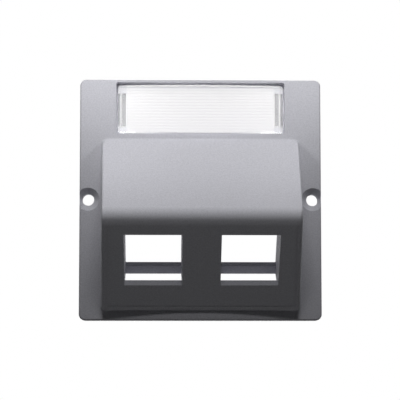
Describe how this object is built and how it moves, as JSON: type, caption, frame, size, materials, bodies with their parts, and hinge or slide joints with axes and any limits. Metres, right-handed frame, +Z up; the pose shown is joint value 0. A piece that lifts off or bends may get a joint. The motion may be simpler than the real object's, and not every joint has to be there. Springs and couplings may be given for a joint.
{
  "type": "keystone faceplate",
  "caption": "Square wall outlet plate with an angled hood, keystone openings that face down, a clear label window and screw holes.",
  "frame": {"origin": "on the wall plane (the skirt's back edge), midway between the two screw holes", "axes": "+X right seen from the front, +Z up, the front faces -Y"},
  "size_m": [0.0644, 0.0273, 0.0644],
  "materials": {
    "painted_plastic": "aluminium-colour paint, fine grained satin",
    "clear_plastic": "clear, polished",
    "white_card": "matte white card"
  },
  "bodies": {
    "root": {"faceplate": "painted_plastic", "label_cover": "clear_plastic", "label_card": "white_card"}
  },
  "joints": []
}
